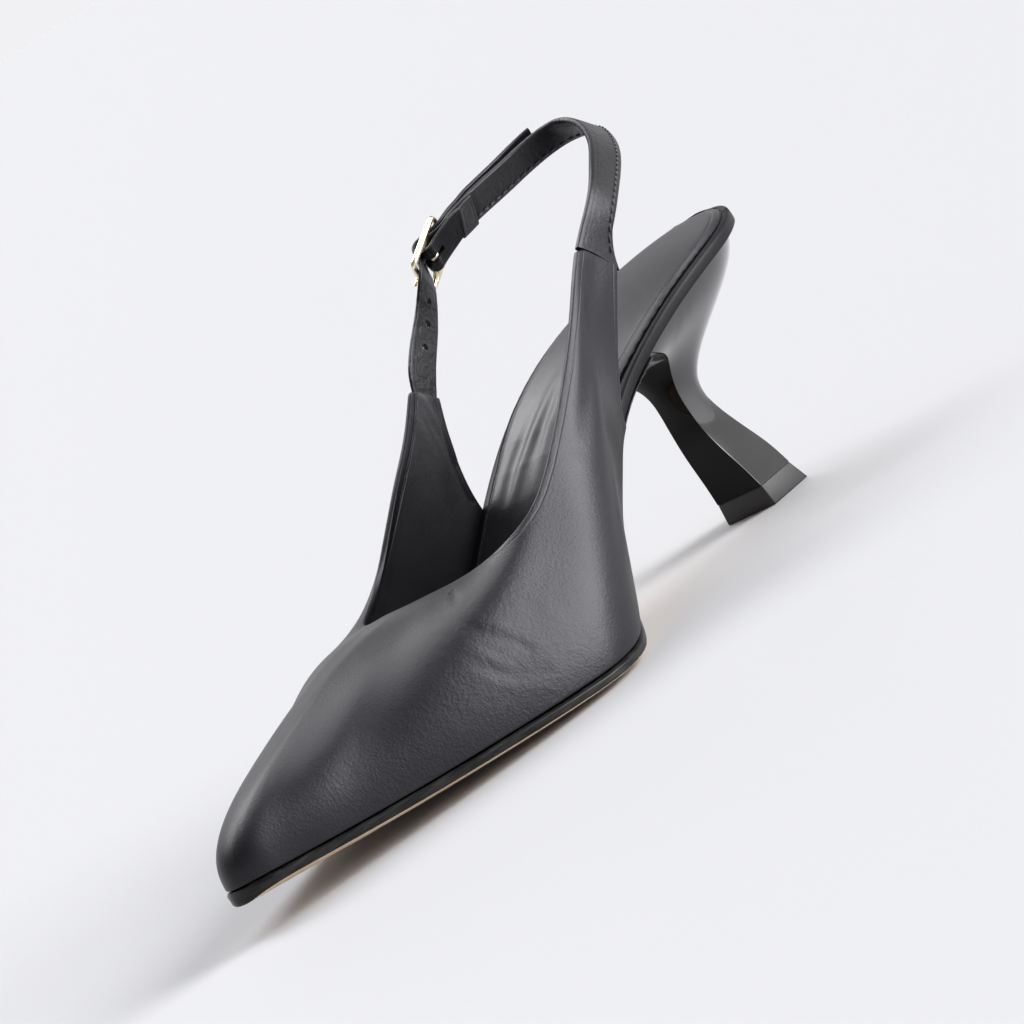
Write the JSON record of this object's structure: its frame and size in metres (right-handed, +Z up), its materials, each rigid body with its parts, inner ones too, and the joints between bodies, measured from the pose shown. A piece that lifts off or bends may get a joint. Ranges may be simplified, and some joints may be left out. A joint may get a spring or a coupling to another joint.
{
  "type": "slingback pump",
  "caption": "Pointed slingback pump for the right foot, with a low vamp, slender side wings, a flared heel and a buckled strap round the back of the foot.",
  "frame": {"origin": "on the floor, under the middle of the shoe's bounding box", "axes": "+X towards the toe, +Y towards the wearer's left (the inner side of this right shoe), +Z up"},
  "size_m": [0.2396, 0.0822, 0.1023],
  "materials": {
    "black_leather": "satin smooth grain",
    "sock_leather": "soft matt",
    "sole_leather": "smooth, black at the edge and tan beneath",
    "heel_gloss": "high gloss",
    "lift_rubber": "satin",
    "pale_gold": "polished pale gold plating"
  },
  "bodies": {
    "root": {"outsole": "sole_leather", "insole": "black_leather", "sock": "sock_leather", "upper": "black_leather", "heel": "heel_gloss", "top_lift": "lift_rubber", "heel_strap": "black_leather", "billet": "black_leather", "buckle_frame": "pale_gold", "buckle_prong": "pale_gold"}
  },
  "joints": []
}
